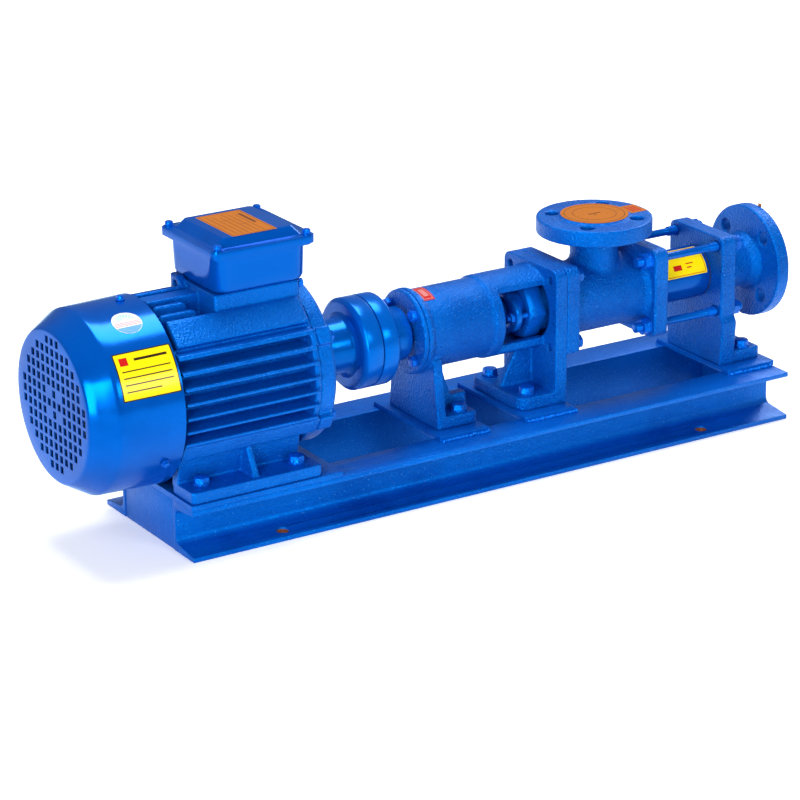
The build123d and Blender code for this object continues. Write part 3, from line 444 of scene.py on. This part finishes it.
# yellow film on the fan cover
R1 = 88.0
fc = cover_skin(149.9)
H = radians(14.6) * R1
pieces("fan_cover_film", fc, [round_rect(-63.4, -5.8, -H, H, 1.2, 16)], 0.0, 0.16, INK)
pieces("fan_cover_film_field", fc, [round_rect(-62.3, -6.9, -H + 1.1, H - 1.1, 0.8, 16)], 0.16, 0.21, YELLOW)
rules = [rect(-44.0, -11.5, -H + 7.0, -H + 9.4, 10, 3)]
for i in range(4):
    v = -H + 17.5 + i * 6.2
    rules.append(rect(-58.5, (-11.0, -11.0, -11.0, -24.0)[i], v, v + 1.1, 12, 2))
pieces("fan_cover_film_rules", fc, rules, 0.21, 0.25, INK)
pieces("fan_cover_film_mark", fc, [rect(-58.5, -50.5, -H + 5.0, -H + 12.5, 4, 4)], 0.21, 0.25, RED)

# round film beside it
rf = cover_skin(114.8)
pieces("round_film", rf, [disc_chord(-33.7, 0, 14.0, -14.0, 14.0, 24)], 0.0, 0.16, WHITE)
pieces("round_film_lower", rf, [disc_chord(-33.7, 0, 13.6, 5.6, 13.6)], 0.16, 0.21, SKY)
pieces("round_film_bars", rf, [disc_chord(-33.7, 0, 13.2, -0.4 + 1.9 * i, 0.7 + 1.9 * i, 3) for i in range(3)], 0.16, 0.21, PINK)
pieces("round_film_fan", rf, [sector(-33.7, -2.0, 3.6, 9.4, 188 + 21 * i, 200 + 21 * i, 4, 3) for i in range(8)], 0.16, 0.21, foil("pale_blue_film", srgb(150, 190, 222)))

# small red film on the bearing housing
hb = around_x(39.2, 101.0)
pieces("housing_film", hb, [rect(291.0, 304.3, -12.8, 12.8, 4, 12)], 0.1, 0.3, RED)
pieces("housing_film_field", hb, [rect(292.4, 293.2, -11.4, 11.4, 2, 12), rect(302.1, 302.9, -11.4, 11.4, 2, 12), rect(292.4, 302.9, -11.4, -10.6, 4, 2), rect(292.4, 302.9, 10.6, 11.4, 4, 2), rect(295.0, 300.4, -6.5, 7.0, 3, 8)], 0.3, 0.36, PINK)

# yellow film on the stator tube
st = around_x(26.4, 131.0)
pieces("stator_film", st, [rect(572.0, 625.5, -17.0, 17.0, 6, 14)], 0.0, 0.16, YELLOW)
pieces("stator_film_rules", st, [rect(573.2, 624.3, -15.8, -15.2, 6, 2), rect(573.2, 624.3, 15.2, 15.8, 6, 2), rect(573.2, 573.8, -15.8, 15.8, 2, 14), rect(623.7, 624.3, -15.8, 15.8, 2, 14),
                                rect(586.0, 596.0, 4.5, 10.0, 4, 4), rect(602.0, 611.0, 3.5, 4.7, 3, 2), rect(602.0, 608.0, 7.5, 8.7, 3, 2)], 0.16, 0.21, RED)

# film over the inlet bore
top = flat_z(226.0)
pieces("inlet_film", top, [disc_chord(503.4, 0, 33.6, -33.6, 33.6, 40, 24)], 0.0, 0.2, ORANGE)
pieces("inlet_film_ring", top, [sector(503.4, 0, 29.6, 30.3, 0, 360, 72, 1), sector(503.4, 0, 21.4, 21.9, 0, 360, 60, 1), rect(496.0, 510.5, -0.9, 0.9, 3, 2), rect(499.0, 503.0, -5.0, -3.9, 2, 2)], 0.2, 0.26, BROWN)

pieces("inlet_tab", flat_z(224.0), [rect(538.5, 557.5, -14.5, 9.5, 4, 4)], 0.0, 0.2, ORANGE)
pieces("inlet_tab_bars", flat_z(224.0), [rect(543.0 + 4.2 * i, 545.2 + 4.2 * i, -11.0, 5.5, 2, 4) for i in range(3)], 0.2, 0.26, RED)
pieces("outlet_tab", lambda u, v, h: P(705.5 + h, u, v), [rect(-9.0, -4.0, 188.0, 204.4, 2, 4)], 0.0, 0.3, ORANGE)


# --------------------------------------------------------------------- welds, threads, rust
def bead(name, pts, r, seed, step=0.7, wob=0.35, flat=0.8):
    """Rough weld bead along a path: ripples, lumps and tapered ends."""
    path = []
    for (a, b) in zip(pts, pts[1:]):
        a, b = Vector(a), Vector(b)
        L = (b - a).length
        n = max(2, int(L / step))
        for i in range(n):
            path.append(a.lerp(b, i / n))
    path.append(Vector(pts[-1]))
    V, F, m = [], [], 10
    for i, p in enumerate(path):
        t = (path[min(i + 1, len(path) - 1)] - path[max(i - 1, 0)]).normalized()
        side = t.cross(Vector((0, 0, 1))).normalized()
        end = min(1.0, (min(i, len(path) - 1 - i) + 0.15) / 3.0)
        k = r * sqrt(end) * (1 + wob * noise.noise(Vector((i * 0.22, seed, 0.0))) * 1.6 + 0.13 * sin(i * step * 2.6 + seed))
        off = side * (r * 0.5 * noise.noise(Vector((i * 0.12, seed + 7.0, 1.0)))) + Vector((0, 0, r * 0.25 * noise.noise(Vector((i * 0.3, seed + 3.0, 2.0)))))
        for j in range(m):
            a = 2 * pi * j / m
            q = p + off + side * (k * cos(a)) + Vector((0, 0, 1)) * (k * flat * sin(a))
            V.append(P(q.x, q.y, q.z))
    for i in range(len(path) - 1):
        for j in range(m):
            F.append((i * m + j, (i + 1) * m + j, (i + 1) * m + (j + 1) % m, i * m + (j + 1) % m))
    F.append(tuple(range(m))[::-1])
    F.append(tuple((len(path) - 1) * m + j for j in range(m)))
    return link(name, V, F, M["weld"], "pump_set")


for i, (n, x0, x1) in enumerate((("pedestal", 283.0, 338.5), ("bracket", 381.5, 440.0), ("outlet", 628.5, 684.0))):
    bead(f"weld_{n}_front", [(x0 + 1, -61.8, 50.9), (x1 + 0.5, -61.8, 50.9), (x1 + 1.2, -57.0, 50.9), (x1 + 1.2, -47.0, 50.9)] if n != "outlet" else [(x0 + 1, -61.8, 50.9), (683.0, -61.8, 50.9)], 1.9, 3.1 * i + 1)
    bead(f"weld_{n}_rear", [(x0 + 1, 61.8, 50.9), (min(x1, 683.0), 61.8, 50.9)], 1.8, 5.3 * i + 2)
bead("weld_motor_front", [(2.0, -85.3, 49.9), (158.0, -85.3, 49.9)], 0.75, 9.0, wob=0.6)
bead("weld_motor_rear", [(2.0, 85.3, 49.9), (158.0, 85.3, 49.9)], 0.75, 11.0, wob=0.6)
bead("weld_motor_right_front", [(160.4, -84.0, 50.4), (160.4, -50.0, 50.4)], 0.9, 13.0, wob=0.6)
bead("weld_motor_right_rear", [(160.4, 50.0, 50.4), (160.4, 84.0, 50.4)], 0.9, 15.0, wob=0.6)


def thread(name, spans, r_in, r_lo, r_hi, pitch, mat, m=24):
    """Threaded stretches of a rod parallel to X: (x0, x1, y, z) each."""
    V, F = [], []
    for x0, x1, y, z in spans:
        n = max(1, int(round((x1 - x0) / pitch)))
        prof = [(x0, r_in), (x0, r_lo)]
        for i in range(n):
            a = x0 + (x1 - x0) * i / n
            b = (x1 - x0) / n
            prof += [(a + b * 0.3, r_hi), (a + b * 0.55, r_hi), (a + b * 0.9, r_lo)]
        prof += [(x1, r_lo), (x1, r_in)]
        k0, L = len(V), len(prof)
        for i in range(m):
            a = 2 * pi * i / m
            for x, r in prof:
                V.append(P(x, y + r * cos(a), z + r * sin(a)))
        for i in range(m):
            for j in range(L):
                p, q = k0 + i * L, k0 + ((i + 1) % m) * L
                F.append((p + j, p + (j + 1) % L, q + (j + 1) % L, q + j))
    return link(name, V, F, mat, "pump_set")


spans = []
for y in (-34.0, 34.0):
    for z in (ZC - 34.0, ZC + 34.0):
        spans += [(530.2, 537.4, y, z), (562.8, 566.2, y, z), (619.3, 629.7, y, z), (656.6, 661.2, y, z)]
thread("rod_threads", spans, 4.3, 4.5, 5.0, 1.4, M["bolt"])
thread("gland_threads", [(384.3, 387.0, sy * 23.2, ZC) for sy in (-1, 1)] + [(398.3, 407.7, sy * 23.2, ZC) for sy in (-1, 1)], 2.4, 2.5, 2.72, 0.9, M["bolt"])

rust = Mat("rust", rough=0.85)
rust.l(rust.ramp(rust.noise(420.0, 5.0, 0.7), [(0.3, srgb(60, 28, 12)), (0.5, srgb(128, 66, 26)), (0.72, srgb(176, 104, 48))]), rust.b.inputs["Base Color"])
rust.l(rust.bump(rust.noise(700.0, 4.0, 0.7), 0.9, 0.0006), rust.b.inputs["Normal"])
V, F, m = [], [], 40
for bx_ in (OX - 242.5, OX + 242.5):
    for by_ in (-74.0, 74.0):
        k0 = len(V)
        for i in range(m):
            a = 2 * pi * i / m
            w_ = 0.25 * noise.noise(Vector((cos(a) * 2, sin(a) * 2, bx_ * 0.1 + by_)))
            for r, z in ((6.1, 1.0), (5.8, 1.0), (5.75 + w_ * 0.4, 4.4 + w_), (6.1, 4.5 + w_)):
                V.append(P(bx_ + r * cos(a), by_ + r * sin(a), z))
        for i in range(m):
            for j in range(4):
                p, q = k0 + i * 4, k0 + ((i + 1) % m) * 4
                F.append((p + j, p + (j + 1) % 4, q + (j + 1) % 4, q + j))
link("bolt_hole_rust", V, F, rust.m, "pump_set")

# --------------------------------------------------------------------- camera
CAM = dict(az=radians(-32.02717542), el=radians(20.13842326), roll=radians(-0.46321883), f=3163.0355920656057, pos=P(-1244.504, -2430.6199, 1127.5196))
az, el, ro = CAM["az"], CAM["el"], CAM["roll"]
back = Vector((sin(az) * cos(el), -cos(az) * cos(el), sin(el)))
right = (-back).cross(Vector((0, 0, 1))).normalized()
up = right.cross(-back)
r2 = right * cos(ro) + up * sin(ro)
u2 = up * cos(ro) - right * sin(ro)
cd = bpy.data.cameras.new("camera")
cd.sensor_width, cd.sensor_fit, cd.lens = 36.0, "HORIZONTAL", CAM["f"] / 800.0 * 36.0
cd.clip_start, cd.clip_end = 0.1, 50.0
cam = bpy.data.objects.new("camera", cd)
bpy.context.scene.collection.objects.link(cam)
cam.matrix_world = Matrix(((r2.x, u2.x, back.x, CAM["pos"].x), (r2.y, u2.y, back.y, CAM["pos"].y), (r2.z, u2.z, back.z, CAM["pos"].z), (0, 0, 0, 1)))
bpy.context.scene.camera = cam

# --------------------------------------------------------------------- floor and light
fl = bpy.data.meshes.new("floor")
fl.from_pydata([(-6, -6, 0), (6, -6, 0), (6, 6, 0), (-6, 6, 0)], [], [(0, 1, 2, 3)])
floor = bpy.data.objects.new("floor", fl)
bpy.context.scene.collection.objects.link(floor)
k = Mat("pale_floor", rough=0.75)
k.l(k.ramp(k.noise(3.0, 3.0), [(0.3, (0.9, 0.9, 0.905)), (0.7, (0.94, 0.94, 0.945))]), k.b.inputs["Base Color"])
k.b.inputs["Emission Color"].default_value = (1.0, 1.0, 1.0, 1.0)
k.b.inputs["Emission Strength"].default_value = 0.28
fl.materials.append(k.m)


def area(name, loc, target, size, power, col=(1, 1, 1), sy=None):
    d = bpy.data.lights.new(name, "AREA")
    d.shape, d.size, d.size_y, d.energy, d.color = "RECTANGLE", size, sy or size, power, col
    o = bpy.data.objects.new(name, d)
    bpy.context.scene.collection.objects.link(o)
    o.location = loc
    o.rotation_euler = (Vector(target) - Vector(loc)).to_track_quat("-Z", "Y").to_euler()
    return o


area("key", (-2.3, -1.7, 0.85), (-0.15, 0, 0.13), 0.8, 66, sy=1.6)
area("front", (0.6, -2.9, 1.5), (0.05, 0, 0.1), 1.2, 30, sy=0.8)
area("top", (0.1, 0.4, 2.4), (0, 0, 0.1), 1.6, 66, sy=1.2)
area("rim", (2.2, 1.2, 1.2), (0.1, 0, 0.12), 0.9, 16)
w = bpy.data.worlds.new("world")
bpy.context.scene.world = w
w.use_nodes = True
w.node_tree.nodes["Background"].inputs[0].default_value = (0.93, 0.96, 1.0, 1)
w.node_tree.nodes["Background"].inputs[1].default_value = 0.3
bpy.context.scene.view_settings.view_transform = "Standard"
